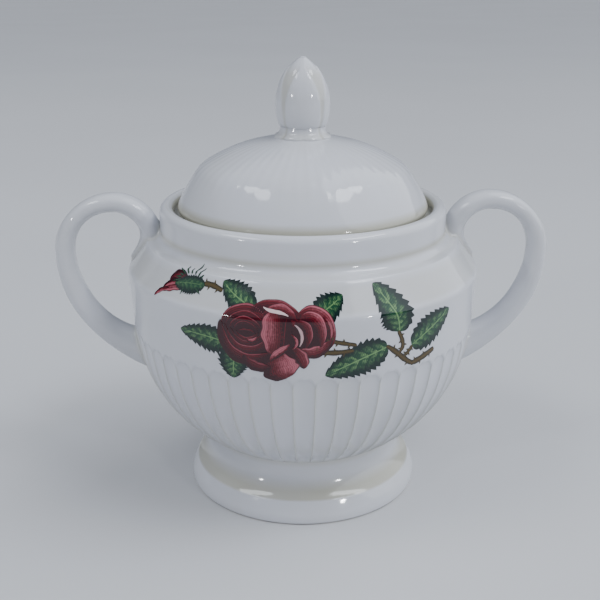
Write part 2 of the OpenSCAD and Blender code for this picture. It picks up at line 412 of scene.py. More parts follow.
# ---------------------------------------------------------------- materials
# colours that belong to the clay and to the engraving, and so aren't set by hand
SPECK, STAIN, GRIT = (0.16, 0.11, 0.06), (0.30, 0.26, 0.21), (0.2, 0.17, 0.13)
PALE_EDGE, LEAF_RIM = (0.66, 0.50, 0.50), (0.001, 0.006, 0.006)
STEM_RIM, STEM_KNOT = (0.02, 0.012, 0.004), (0.05, 0.045, 0.015)
# how far the waves of the glaze stand, in mm, and its polish at best and at worst
GLAZE_WAVE, POLISHED, DULLED = 0.055, 0.055, 0.13


def link(tree, a, b):
    """Links an output to an input, each a (node, socket) pair."""
    tree.links.new(a[0].outputs[a[1]], b[0].inputs[b[1]])


def math_node(tree, operation, a, b=None, clamp=False):
    """A math node whose inputs are numbers or (node, socket) pairs."""
    made = tree.nodes.new("ShaderNodeMath")
    made.operation, made.use_clamp = operation, clamp
    for i, value in enumerate((a, b)):
        if isinstance(value, tuple):
            tree.links.new(value[0].outputs[value[1]], made.inputs[i])
        elif value is not None:
            made.inputs[i].default_value = value
    return made, 0


def product(tree, first, *others):
    """The product of numbers or (node, socket) pairs."""
    for value in others:
        first = math_node(tree, "MULTIPLY", first, value)
    return first


def mixed(tree, share, a, b):
    """A colour between two, each a colour or a (node, socket) pair."""
    made = tree.nodes.new("ShaderNodeMix")
    made.data_type = "RGBA"
    for i, value in ((0, share), (6, a), (7, b)):
        if isinstance(value, tuple) and isinstance(value[0], bpy.types.Node):
            tree.links.new(value[0].outputs[value[1]], made.inputs[i])
        else:
            made.inputs[i].default_value = value if i == 0 else (*value, 1)
    return made, 2


def span(tree, value, low, high, to_low=0.0, to_high=1.0):
    """Maps a value from one range to another, held at both ends."""
    made = tree.nodes.new("ShaderNodeMapRange")
    made.interpolation_type = "SMOOTHSTEP"
    tree.links.new(value[0].outputs[value[1]], made.inputs[0])
    for i, number in enumerate((low, high, to_low, to_high), 1):
        made.inputs[i].default_value = number
    return made, 0


def noise(tree, place, scale, detail=2.0, rough=0.5):
    """Noise over the object."""
    made = tree.nodes.new("ShaderNodeTexNoise")
    made.inputs["Scale"].default_value = scale
    made.inputs["Detail"].default_value = detail
    made.inputs["Roughness"].default_value = rough
    tree.links.new(place[0].outputs[place[1]], made.inputs["Vector"])
    return made, 0


def attribute(tree, name):
    """A number that was written at each point."""
    made = tree.nodes.new("ShaderNodeAttribute")
    made.attribute_name = name
    return made, 2


def new_group(name, ins, outs):
    """An empty node group with named inputs and outputs, each a (name, kind) pair, and its two ends."""
    group = bpy.data.node_groups.new(name, "ShaderNodeTree")
    for way, sockets in (("INPUT", ins), ("OUTPUT", outs)):
        for label, kind in sockets:
            group.interface.new_socket(label, in_out=way, socket_type=f"NodeSocket{kind}")
    return group, group.nodes.new("NodeGroupInput"), group.nodes.new("NodeGroupOutput")


def glaze_group():
    """The skin of the glaze: slow changes of colour, a few specks, smears of polish and a wavy surface."""
    if "glaze_skin" in bpy.data.node_groups:
        return bpy.data.node_groups["glaze_skin"]
    group, start, end = new_group(
        "glaze_skin", (("Glaze", "Color"), ("Pooled and shaded", "Color"), ("Pool and shade", "Float"), ("Specks", "Float")),
        (("Color", "Color"), ("Roughness", "Float"), ("Height", "Float")))
    place = (group.nodes.new("ShaderNodeTexCoord"), "Object")
    cloud = noise(group, place, 28, 3)
    drift = span(group, cloud, 0.35, 0.7, 0, 0.16)
    # each piece's pooled glaze and painted shade, plus a little random drift, mixes the glaze towards its
    # darker pooled colour
    pool_and_shade = math_node(group, "ADD", (start, "Pool and shade"), drift, clamp=True)
    body = mixed(group, pool_and_shade, (start, "Glaze"), (start, "Pooled and shaded"))
    dots = group.nodes.new("ShaderNodeTexVoronoi")
    dots.inputs["Scale"].default_value = 95
    group.links.new(place[0].outputs["Object"], dots.inputs["Vector"])
    speck = span(group, (dots, 0), 0.045, 0.02)
    rare = span(group, noise(group, place, 61, 0), 0.60, 0.66)
    speck = math_node(group, "MULTIPLY", speck, rare)
    speck = math_node(group, "MULTIPLY", speck, (start, "Specks"))
    body = mixed(group, speck, body, SPECK)
    link(group, body, (end, "Color"))
    polish = span(group, noise(group, place, 45, 4, 0.6), 0.35, 0.75, POLISHED, DULLED)
    link(group, polish, (end, "Roughness"))
    waves = noise(group, place, 150, 1)
    peel = noise(group, place, 620, 1)
    height = math_node(group, "ADD", math_node(group, "MULTIPLY", waves, 0.75),
                       math_node(group, "MULTIPLY", peel, 0.12))
    link(group, height, (end, "Height"))
    return group


def shader(name):
    """A new material with its Principled shader."""
    material = bpy.data.materials.new(name)
    material.use_nodes = True
    tree = material.node_tree
    surface = tree.nodes["Principled BSDF"]
    surface.inputs["IOR"].default_value = 1.52
    return material, tree, surface


def rough_up(tree, surface, height, strength, far):
    """Bumps a surface by a height, far being in mm."""
    bump = tree.nodes.new("ShaderNodeBump")
    bump.inputs["Strength"].default_value = strength
    bump.inputs["Distance"].default_value = far * MM
    link(tree, height, (bump, "Height"))
    link(tree, (bump, 0), (surface, "Normal"))


def gloss(tree, surface, color=None, pool_and_shade=None, specks=0.0):
    """Puts the glaze over a surface. Without a colour the glaze shows its own."""
    finish = sizes().finish
    skin = tree.nodes.new("ShaderNodeGroup")
    skin.node_tree = glaze_group()
    skin.inputs["Glaze"].default_value = (*finish.glaze, 1)
    skin.inputs["Pooled and shaded"].default_value = (*finish.pooled_and_shaded, 1)
    skin.inputs["Specks"].default_value = specks
    if pool_and_shade:
        link(tree, pool_and_shade, (skin, "Pool and shade"))
    link(tree, color or (skin, "Color"), (surface, "Base Color"))
    link(tree, (skin, "Roughness"), (surface, "Roughness"))
    rough_up(tree, surface, (skin, "Height"), 1.0, GLAZE_WAVE)


def glaze(name):
    """Cream glaze, darker and more olive where the piece's numbers say: pooled glaze and painted shade in
    recesses.
    """
    if name in bpy.data.materials:
        return bpy.data.materials[name]
    material, tree, surface = shader(name)
    gloss(tree, surface, pool_and_shade=attribute(tree, "pool_and_shade"), specks=1.0)
    return material


def bare_clay():
    """The foot's wiped edge: dry clay with grains and grey wear."""
    material, tree, surface = shader("bare_clay")
    place = (tree.nodes.new("ShaderNodeTexCoord"), "Object")
    grain = noise(tree, place, 900, 4)
    stain = span(tree, noise(tree, place, 90, 3), 0.4, 0.7)
    color = mixed(tree, stain, tuple(sizes().finish.clay), STAIN)
    color = mixed(tree, span(tree, grain, 0.55, 0.75, 0, 0.5), color, GRIT)
    link(tree, color, (surface, "Base Color"))
    link(tree, span(tree, grain, 0.3, 0.7, 0.75, 0.95), (surface, "Roughness"))
    rough_up(tree, surface, grain, 0.6, 0.1)
    return material


def engraving_group():
    """Engraved lines along and across a printed shape, a little shaken: 1 on a line and 0 between."""
    if "engraved_lines" in bpy.data.node_groups:
        return bpy.data.node_groups["engraved_lines"]
    group, start, end = new_group(
        "engraved_lines", (("Place", "Vector"), ("Pitch", "Float"), ("Shake", "Float")),
        (("Along", "Float"), ("Across", "Float")))
    split = group.nodes.new("ShaderNodeSeparateXYZ")
    link(group, (start, "Place"), (split, 0))
    shake = math_node(group, "SUBTRACT", noise(group, (start, "Place"), 9, 2), 0.5)
    shift = math_node(group, "MULTIPLY", shake, (start, "Shake"))
    for axis, name in enumerate(("Along", "Across")):
        place = math_node(group, "MULTIPLY", math_node(group, "ADD", (split, axis), shift), 2 * math.pi)
        wave = math_node(group, "SINE", math_node(group, "DIVIDE", place, (start, "Pitch")))
        link(group, span(group, wave, -0.1, 1.0), (end, name))
    return group


def engraved(tree, pitch, shake):
    """The engraved lines in one material, and the place they are drawn by."""
    place = tree.nodes.new("ShaderNodeUVMap")
    place.uv_map = "UVMap"
    lines = tree.nodes.new("ShaderNodeGroup")
    lines.node_tree = engraving_group()
    lines.inputs["Pitch"].default_value, lines.inputs["Shake"].default_value = pitch, shake
    link(tree, (place, 0), (lines, "Place"))
    return (lines, "Along"), (lines, "Across"), (place, 0)


def printed_petals():
    """Rose print: dark roots and rims, pink swells, pale turned edges and engraved lines."""
    finish = sizes().finish
    material, tree, surface = shader("rose_print")
    _, hatch, place = engraved(tree, 0.06, 0.02)
    reach, side, tone = (attribute(tree, n) for n in ("reach", "side", "tone"))
    rim = math_node(tree, "ABSOLUTE", side)
    blotch = noise(tree, place, 14, 3)
    swelling = product(tree, span(tree, reach, 0.0, 0.45, 0.35, 1), span(tree, side, -1.0, 0.45),
                       span(tree, reach, 1.0, 0.7, 0.45, 1))
    cloud = product(tree, math_node(tree, "SUBTRACT", blotch, 0.5), 0.8)
    light = product(tree, math_node(tree, "ADD", swelling, cloud), tone)
    lip = product(tree, span(tree, side, 0.50, 0.74), span(tree, reach, 0.0, 0.2),
                  span(tree, reach, 1.0, 0.8), 0.34)
    light = math_node(tree, "ADD", light, lip, clamp=True)
    fade = span(tree, light, 1.0, 0.2, 0.38, 0.85)
    red = mixed(tree, span(tree, light, 0.05, 0.42), tuple(finish.petal_dark), tuple(finish.petal))
    pink = mixed(tree, span(tree, light, 0.36, 0.98), red, tuple(finish.petal_light))
    lined = mixed(tree, product(tree, hatch, fade), pink, tuple(finish.petal_dark))
    pale = mixed(tree, span(tree, tone, 1.5, 2.0), lined, PALE_EDGE)
    edge = span(tree, rim, 0.84, 0.94, 0, 0.95)
    gloss(tree, surface, mixed(tree, edge, pale, tuple(finish.petal_dark)))
    return material


def printed_leaves():
    """Leaf print: blue green rims, yellow green fields between dark veins and a pale midrib."""
    finish = sizes().finish
    material, tree, surface = shader("leaf_print")
    ribs, _, place = engraved(tree, 0.05, 0.03)
    reach, side, tone = (attribute(tree, n) for n in ("reach", "side", "tone"))
    rim = math_node(tree, "ABSOLUTE", side)
    slant = math_node(tree, "SUBTRACT", product(tree, reach, 6.5), product(tree, rim, 1.5))
    blotch = noise(tree, place, 8, 3)
    field = math_node(tree, "FRACT", slant)
    bright = product(tree, span(tree, field, 0.9, 0.3), span(tree, rim, 0.8, 0.1),
                     span(tree, blotch, 0.36, 0.66))
    bright = math_node(tree, "MULTIPLY", bright, tone, clamp=True)
    body = mixed(tree, span(tree, rim, 0.8, 0.2), tuple(finish.leaf_dark), tuple(finish.leaf))
    body = mixed(tree, bright, body, tuple(finish.leaf_light))
    body = mixed(tree, product(tree, ribs, 0.6), body, tuple(finish.leaf_dark))
    vein = span(tree, field, 0.1, 0.02, 0, 0.85)
    body = mixed(tree, vein, body, tuple(finish.leaf_dark))
    rib = product(tree, span(tree, rim, 0.055, 0.02), span(tree, reach, 0.97, 0.8))
    rib = math_node(tree, "MULTIPLY", rib, tone, clamp=True)
    body = mixed(tree, rib, body, tuple(finish.leaf_light))
    gloss(tree, surface, mixed(tree, span(tree, rim, 0.86, 0.96, 0, 0.9), body, LEAF_RIM))
    return material


def printed_stems():
    """Stem print: brown, darker at its rims and at its knots."""
    material, tree, surface = shader("stem_print")
    rings, _, _ = engraved(tree, 0.08, 0.02)
    rim = math_node(tree, "ABSOLUTE", attribute(tree, "side"))
    color = mixed(tree, span(tree, rim, 0.8, 0.1), STEM_RIM, tuple(sizes().finish.stem))
    gloss(tree, surface, mixed(tree, product(tree, rings, 0.6), color, STEM_KNOT))
    return material


# ---------------------------------------------------------------- bowl and foot
# the columns across one reed, and how far below and above its top the rows bend round the arch
REED_CUTS = [0, 0.055, 0.14, 0.29, 0.5, 0.71, 0.86, 0.945, 1]
ARCH_BELOW, ARCH_ABOVE = 11, 3.2
# the heights on the foot between which its cove is darkened as pooled glaze and painted shade, and up to
# which it is wiped bare
COVE_LOW, COVE_HIGH, WIPED_TO = 7.2, 13, 0.25


def reed_place(share, z):
    """Distances in mm from a reed's middle line, and half its width, at height z."""
    bowl = sizes().bowl
    half = math.pi * swell(min(z, BAND_Z)) / bowl.reeds
    return abs(share) * half, half - bowl.groove / MM / 2


def reed_raise(share, z):
    """How far a reed stands out of the grooves' floor at a place across it and a height."""
    bowl = sizes().bowl
    top = bowl.reed_top / MM
    if z >= top:
        return 0.0
    u, half = reed_place(share, z)
    up = max(0.0, z - (top - half))
    rho = math.hypot(u, up) / half
    if rho >= 1:
        return 0.0
    tail = min(max((z - WAIST_Z - 1.3) / 2.8, 0.0), 1.0)
    return reed_depth(z) * (1 - rho ** 2.3) ** 0.52 * math.sqrt(1 - (1 - tail) ** 2)


def build_bowl():
    """The bowl: one reed's width of wall, its rows bent round the arch, its reed raised, copied round."""
    bowl = sizes().bowl
    count, top = bowl.reeds, bowl.reed_top / MM
    turn = bowl.reed_turn - math.pi / 2
    outline = run(bowl_inside(), bowl_outside(), [(0, WAIST_Z)])
    piece = sector("bowl", outline, turn, count, REED_CUTS)
    half = reed_place(1, top)[1]
    heights, pools_and_shade = [], []
    for v in piece.data.vertices:
        share, r = column_of(v.co, turn, count)
        z = v.co.z / MM
        outer = WAIST_Z < z < RIM_Z and r > radius_at(outer_line(), z) - 1.5
        if outer and top - ARCH_BELOW < z < top + ARCH_ABOVE:
            u = min(reed_place(share, top)[0], half)
            dip = half - math.sqrt(half * half - u * u)
            keep = min((z - top + ARCH_BELOW) / 8, 1) if z < top else 1 - (z - top) / ARCH_ABOVE
            z -= dip * keep
            r = bowl_base(z) if z < top else radius_at(outer_line(), z)
            a = math.atan2(v.co.y, v.co.x)
            v.co = Vector((r * math.cos(a), r * math.sin(a), z)) * MM
        h = reed_raise(share, z) if outer else 0.0
        heights.append(h)
        pools_and_shade.append(pool_and_shade_at(z, h, outer))
    piece.data.update()
    note(piece, "pool_and_shade", pools_and_shade)
    raise_by(piece, heights, bowl.reed_low / MM)
    all_round(piece, count)
    smooth(piece, 60)
    finish_piece(piece, glaze("cream_glaze"), "bowl", "glaze_bowl", "bowl_body")


def outer_line():
    """The bowl's outside."""
    return kept("outer", bowl_outside)


def pool_and_shade_at(z, h, outer):
    """How much the glaze is darkened at height z on the bowl, where the reed stands out by h: pooled glaze
    and painted shade in the grooves, at the neck and on the shoulder, and painted shade on the inside of the
    rim.
    """
    if not outer:
        # painted shade on the rim's inner face and the gallery below it; the rest of the inside a little
        # darker
        return 0.95 if SEAT_Z - 6 < z < RIM_Z - 0.9 else 0.25
    if z < sizes().bowl.reed_top / MM:
        corner = z - (sizes().bowl.reed_top / MM - 3.4)
        return 0.55 * max(0.0, 1 - h / (0.5 * reed_depth(z))) * max(0.0, 1 - max(corner, 0) / 1.6)
    near_neck = max(0.0, 1 - abs(z - NECK_Z) / 1.6)
    near_crease = max(0.0, 1 - abs(z - (EDGE_Z + 0.6)) / 0.8) * 0.2
    shoulder = 0.3 * min(max((z - CREASE_Z - 1.2) / 1.2, 0), 1) * min(max((EDGE_Z - z) / 2, 0), 1)
    return max(0.75 * near_neck, near_crease, shoulder)


def foot_pool_and_shade(z):
    """How much the foot is darkened at height z: in its cove and close under the bowl, as pooled glaze and
    painted shade.
    """
    cove = min(max(z - COVE_LOW, 0) * 2, 1) * min(max(COVE_HIGH - z, 0) / 3.5, 1)
    return 0.85 * cove + 0.6 * max(0.0, (z - FOOT_TOP + 1.6) / 1.6)


def build_foot():
    """The foot: a turned ring with a rounded edge, a ridge, a hollow throat and an open underside."""
    edge, edge_r = FOOT_R - 1, 1
    side_r, ridge_r = 8, 1.2
    cove_x, cove_z, cove_r = FOOT_R + 4.43, WAIST_Z - 1.9, 11.127
    stem = cove_x - cove_r
    throat, throat_z = stem - 4.8, FOOT_TOP - 1.2
    inner, inner_r = FOOT_R - 4.2, 1.2
    outline = run(arc(edge, edge_r, edge_r, -90, 0, 6),
                  arc(FOOT_R - side_r, 1.6, side_r, 2, 25, 8),
                  arc(FOOT_R - 2.785, 6.505, ridge_r, 25, 54, 6),
                  arc(cove_x, cove_z, cove_r, 234.2, 180, 26),
                  [(stem, FOOT_TOP), (throat, FOOT_TOP), (throat, throat_z)],
                  line((throat, throat_z), (inner - 1.2, 3), 10),
                  arc(inner, inner_r, inner_r, 160, 270, 6),
                  line((inner, 0), (edge, 0), 3))
    piece = turned("foot_turned", outline, 192)
    note(piece, "pool_and_shade", [foot_pool_and_shade(v.co.z / MM) for v in piece.data.vertices])
    smooth(piece, 60)
    finish_piece(piece, glaze("cream_glaze"), "bowl", "glaze_bowl", "foot")
    piece.data.materials.append(bare_clay())
    for face in piece.data.polygons:
        if face.center.z < WIPED_TO * MM:
            face.material_index = 1


# ---------------------------------------------------------------- handles
# how many points go round a handle, along it between its joins, and down each join
AROUND, ALONG, JOIN = 36, 84, 5
# half of the strap's thickness at the top and the side of its loop
HALF_T = 3.1
# the power that makes the strap's section a little squarer than an oval
SQUARER = 0.9
# the line's end: how far it leans along the strap, sinks at its last place, and goes into the clay
LEAN, SINK, INTO, BACK = 0.7, 0.04, 0.9, 0.3


def handle_path():
    """Stations down the middle of the right handle, from the shoulder to the tail.

    Each is x, z, thickness and width in mm: first the thumb on the shoulder, then the root that
    rises from it, the loop over the top, and the back of the loop down to the tail.
    """
    top = LOOP_Z - HALF_T
    wide = sizes().handles.wide / MM
    root_x, root_r = 48.2, 12.2
    cx = root_x + root_r
    over_r = LOOP_X - HALF_T - cx
    over_z = top - over_r
    back_r = 34.92
    back_x = LOOP_X - HALF_T - back_r + 0.1
    thumb = [(54.9, 70.8, 1.0, 4.0), (54.9, 73.0, 2.0, 7.0), (54.4, 75.2, 3.6, 9.4), (53.1, 77.1, 5.0, 10.8),
             (51.4, 78.7, 6.0, 11.2), (49.8, 80.4, 6.6, 11.0), (48.7, 82.3, 6.7, 10.5)]
    root = [(x, z, 6.4 - 0.06 * i, 9.7 - 0.08 * i)
            for i, (x, z) in enumerate(arc(cx, top - root_r, root_r, 175, 90, 9))]
    over = [(x, z, t, wide) for (x, z), t in zip(arc(cx, over_z, over_r, 80, 0, 8),
                                                 (5.8, 5.7, 5.6, 5.6, 5.7, 5.9, 6.1, 6.2, 6.2))]
    back = [(x, z, t, w) for (x, z), t, w in zip(
        arc(back_x, over_z, back_r, -8, -76, 17),
        (6.3, 6.4, 6.6, 6.8, 7.0, 7.1, 7.2, 7.3, 7.5, 7.7, 8.0, 8.4, 8.9, 9.5, 10.3, 11.2, 12.2, 13.2),
        (9.2, 9.2, 9.2, 9.2, 9.2, 9.2, 9.2, 9.2, 9.3, 9.4, 9.5, 9.6, 9.8, 10.1, 10.5, 11.0, 11.6, 12.2))]
    return thumb + root + over + back


def flowing(stations, n):
    """A smooth run of n stations through the given ones, evenly spaced."""
    def at(i, t):
        p = [stations[max(0, min(len(stations) - 1, i + k))] for k in (-1, 0, 1, 2)]
        return tuple(0.5 * (2 * b + (c - a) * t + (2 * a - 5 * b + 4 * c - d) * t * t
                            + (3 * b - a - 3 * c + d) * t ** 3) for a, b, c, d in zip(*p))
    dense = [at(i, t / 12) for i in range(len(stations) - 1) for t in range(12)] + [stations[-1]]
    return even(dense, n)


def even(points, n):
    """n points at even distances along a run of points, or of stations measured by their x and z alone."""
    far = [0.0]
    for a, b in zip(points, points[1:]):
        far.append(far[-1] + (math.dist(a[:2], b[:2]) if len(a) == 4 else math.dist(a, b)))
    found, i = [], 0
    for k in range(n):
        want = far[-1] * k / (n - 1)
        while i < len(far) - 2 and far[i + 1] < want:
            i += 1
        t = (want - far[i]) / max(far[i + 1] - far[i], 1e-9)
        found.append(tuple(a + (b - a) * min(t, 1) for a, b in zip(points[i], points[i + 1])))
    return found


def on_bowl(p):
    """The place on the bowl's outside nearest to a point, its distance, and the way out there."""
    r = math.hypot(p.x, p.y)
    pr, pz, gap, (nr, nz) = nearest(kept("crests", bowl_crests), r, p.z)
    c, s = p.x / r, p.y / r
    return Vector((pr * c, pr * s, pz)), gap, Vector((nr * c, nr * s, nz))


def bowl_crests():
    """The bowl's outside a little under the crests of its reeds."""
    rows = [z for z in (BAND_Z - 0.4 - 0.8 * i for i in range(48)) if z > WAIST_Z]
    return run(bowl_upper(), [(swell(z) - 0.25 * reed_depth(z), z) for z in rows])


def handle_lines():
    """Lines along the strap, each let softly into the bowl at both of its ends."""
    handles = sizes().handles
    clear, reach = handles.clear / MM, handles.fillet / MM
    path = flowing(handle_path(), 260)
    lines = []
    for k in range(AROUND):
        turn = 2 * math.pi * k / AROUND
        c, s = math.cos(turn), math.sin(turn)
        across = math.copysign(abs(c) ** SQUARER, c)
        aside = math.copysign(abs(s) ** SQUARER, s)
        points, outs = [], []
        for i, (x, z, t, w) in enumerate(path):
            x0, z0, x1, z1 = *path[max(i - 1, 0)][:2], *path[min(i + 1, len(path) - 1)][:2]
            way = Vector((x1 - x0, 0, z1 - z0)).normalized()
            out = Vector((-way.z, 0, way.x))
            points.append(Vector((x, 0, z)) + out * (across * t / 2) + Vector((0, aside * w / 2, 0)))
            outs.append((out * c / t + Vector((0, s / w, 0))).normalized())
        first = last = len(points) // 2
        while first > 1 and on_bowl(points[first])[1] > clear:
            first -= 1
        while last < len(points) - 2 and on_bowl(points[last])[1] > clear:
            last += 1
        body = [Vector(p) for p in even([tuple(p) for p in points[first:last + 1]], ALONG)]
        up = (points[first] - points[first + 1]).normalized()
        down = (points[last] - points[last - 1]).normalized()
        head = soft_end(points[first], up, outs[first], clear, reach)
        tail = soft_end(points[last], down, outs[last], clear, reach)
        lines.append(head[::-1] + body + tail)
    return lines


def soft_end(p, way, out, clear, reach):
    """Points from the end of a line down to the bowl and along it, then into the clay."""
    q, _, n = on_bowl(p + way * clear)
    aside = out - n * out.dot(n) + (way - n * way.dot(n)) * LEAN
    far, _, m = on_bowl(q + (aside.normalized() if aside.length > 1e-6 else way) * reach)
    ends = []
    for i in range(1, JOIN + 1):
        t = i / JOIN
        ends.append(p * (1 - t) ** 2 + q * (2 * t * (1 - t)) + (far - m * SINK) * t * t)
    return ends + [far - m * INTO - n * BACK]


def build_handles():
    """The right handle, drawn out of a circle ring by ring and shaped, and its mirrored copy."""
    lines = handle_lines()
    rows = len(lines[0])
    piece = begin("handle_right", "circle", vertices=AROUND, radius=1, fill_type="NGON")
    bpy.ops.mesh.select_all(action="SELECT")
    for _ in range(rows - 1):
        bpy.ops.mesh.extrude_region_move(TRANSFORM_OT_translate={"value": (0, 0, 1)})
    bpy.ops.object.mode_set(mode="OBJECT")
    for v in piece.data.vertices:
        k = round(math.atan2(v.co.y, v.co.x) / (2 * math.pi / AROUND)) % AROUND
        v.co = lines[k][round(v.co.z)] * MM
    piece.data.update()
    edit(piece)
    close(piece)
    gaps = [abs(on_bowl(v.co / MM)[1]) for v in piece.data.vertices]
    # darker where the handle meets the bowl: painted shade, partly pooled glaze
    note(piece, "pool_and_shade", [0.55 * max(0.0, 1 - gap / 1.3) for gap in gaps])
    smooth(piece, 70)
    bpy.ops.object.duplicate()
    other = bpy.context.object
    other.name = other.data.name = "handle_left"
    other.scale.x = -1
    bpy.ops.object.transform_apply(location=False, rotation=False, scale=True)
    edit(other)
    close(other)
    for handle, cad in ((piece, "handle_right"), (other, "handle_left")):
        handle.name = f"{cad}_strap"
        finish_piece(handle, glaze("cream_glaze"), "bowl", "glaze_bowl", cad)


# ---------------------------------------------------------------- lid
# the angles at which the lid's edge runs into its side, its side into the knee, and that into the crown
EDGE_A, KNEE_A, CROWN_A = 25, 36, 60
# the gap round the lid, its thickness, and the radius at which its flutes start
LID_GAP, LID_T, FLUTES_R = 1.5, 3.4, 12
# the locating ring's thickness, its rounding, and how far it goes up into the dome
RING_T, RING_SOFT, RING_UP = 3.0, 0.9, 0.6


def lid_lines():
    """Centres and radii of the lid's edge, side, knee and crown, each arc running on from the last."""
    edge_a, knee_a, crown_a = (math.radians(a) for a in (EDGE_A, KNEE_A, CROWN_A))
    edge_r, side_r, knee_r = 2.0, 58.0, 12.7
    ex, ez = SEAT_R - LID_GAP - edge_r * math.cos(edge_a), LID_Z + edge_r
    sx, sz = ex - (side_r - edge_r) * math.cos(edge_a), ez - (side_r - edge_r) * math.sin(edge_a)
    kx, kz = sx + (side_r - knee_r) * math.cos(knee_a), sz + (side_r - knee_r) * math.sin(knee_a)
    crown = knee_r + kx / math.cos(crown_a)
    cz = kz - (crown - knee_r) * math.sin(crown_a)
    return (ex, ez, edge_r), (sx, sz, side_r), (kx, kz, knee_r), (cz, crown)


def build_dome():
    """The lid's dome: one flute's width, raised a little between the flutes, then copied round."""
    (ex, ez, er), (sx, sz, sr), (kx, kz, kr), (cz, crown) = lid_lines()
    bowl = sizes().bowl
    turn, count = bowl.reed_turn, bowl.reeds
    outline = run([(0, cz + crown - LID_T)],
                  arc(0, cz, crown - LID_T, 88, CROWN_A, 12),
                  arc(kx, kz, kr - LID_T, 56, KNEE_A, 4),
                  arc(sx, sz, sr - LID_T, 35, 28, 3),
                  [(RING_R - RING_T, LID_Z + 0.3), (RING_R - 2.8, LID_Z)],
                  arc(ex, ez, er, -90, EDGE_A, 9),
                  arc(sx, sz, sr, 26, KNEE_A, 8),
                  arc(kx, kz, kr, 38, CROWN_A, 9),
                  arc(0, cz, crown, 61.5, 90, 20))
    piece = sector("lid_dome_glazed", outline, turn, count, [0, 0.25, 0.5, 0.75, 1])
    deep = bowl.flutes_deep / MM
    heights = []
    for v in piece.data.vertices:
        share, r = column_of(v.co, turn, count)
        z = v.co.z / MM
        under = cz + math.sqrt(max((crown - LID_T / 2) ** 2 - r * r, 0)) - (4 if r > 29 else 0)
        fade = min(max((r - FLUTES_R) / 8, 0), 1) * min(max((ex - 0.6 - r) / 4, 0), 1)
        fluted = r > FLUTES_R and z > max(under, LID_Z + 3.2)
        heights.append(deep * fade * (1 - share * share) if fluted else 0.0)
    raise_by(piece, heights, deep)
    all_round(piece, count)
    # painted shade on the lid's lower edge, where it sits down in the gap inside the rim
    low = [(LID_Z + 4.2 - v.co.z / MM) / 0.8 for v in piece.data.vertices]
    note(piece, "pool_and_shade", [min(1.0, max(0.0, share)) for share in low])
    smooth(piece, 60)
    finish_piece(piece, glaze("cream_glaze_lid"), "lid", "glaze_lid", "lid_dome")


def build_ring():
    """The locating ring under the dome."""
    inner, top = RING_R - RING_T, LID_Z + RING_UP
    outline = run(arc(RING_R - RING_SOFT, RING_Z + RING_SOFT, RING_SOFT, -90, 0, 5),
                  [(RING_R, top), (inner, top)],
                  arc(inner + RING_SOFT, RING_Z + RING_SOFT, RING_SOFT, 180, 270, 5),
                  [(RING_R - RING_SOFT, RING_Z)])
    piece = turned("lid_locating_ring", outline, 160)
    # painted shade, the ring lying under the dome: a little darker all over
    note(piece, "pool_and_shade", [0.4] * len(piece.data.vertices))
    smooth(piece, 60)
    finish_piece(piece, glaze("cream_glaze_lid"), "lid", "glaze_lid", "lid_flange")


# the finial's neck inside its collar and over the lid, and its swell beyond that; and its tip's rounding
NECK_IN, NECK_UP, SWELL_OUT, SWELL_UP, TIP_R = 2.1, 2.9, 1.45, 6.8, 2.2
# where a petal starts round the bud, and how many columns it has
PETAL_TURN, PETAL_CUTS = -3 * math.pi / 4 + math.radians(-2), 24


def collar_height():
    """Height of the crown where the finial's collar stands on it."""
    _, _, _, (cz, crown) = lid_lines()
    return cz + math.sqrt(crown ** 2 - COLLAR_R ** 2)


def bud_outline():
    """The finial's outline in the grooves: collar, neck, swell, ogive and rounded tip."""
    finial = sizes().finial
    scallop, inset = finial.scallop / MM, finial.petal_step / MM + 0.02
    collar_z, lip = collar_height(), 0.6
    neck_r, neck_z = COLLAR_R - NECK_IN, LID_TOP + NECK_UP
    wide_r, wide_z = neck_r + SWELL_OUT, neck_z + SWELL_UP
    rise, gap = FINIAL_TOP - wide_z - TIP_R, wide_r - TIP_R
    ogive = (rise * rise + gap * gap) / (2 * gap) + TIP_R
    tip_a = math.degrees(math.atan2(rise, ogive - wide_r))
    foot_r, cove_r = COLLAR_R - scallop * 0.4, NECK_IN - scallop * 0.4 + inset
    cove_h = neck_z - collar_z - 0.5
    return run([(0, collar_z - 1.2), (COLLAR_R - 1.6, collar_z - 1.2)],
               arc(COLLAR_R - scallop - lip, collar_z + 0.1, lip, -70, 70, 6),
               oval(foot_r, neck_z, cove_r, cove_h, 258, 180, 9),
               oval(neck_r - inset, wide_z, SWELL_OUT, SWELL_UP, -84, 0, 10),
               arc(wide_r - ogive - inset, wide_z, ogive, 4, tip_a, 22),
               arc(0, FINIAL_TOP - TIP_R, TIP_R - 0.05, tip_a + 6, 90, 6))


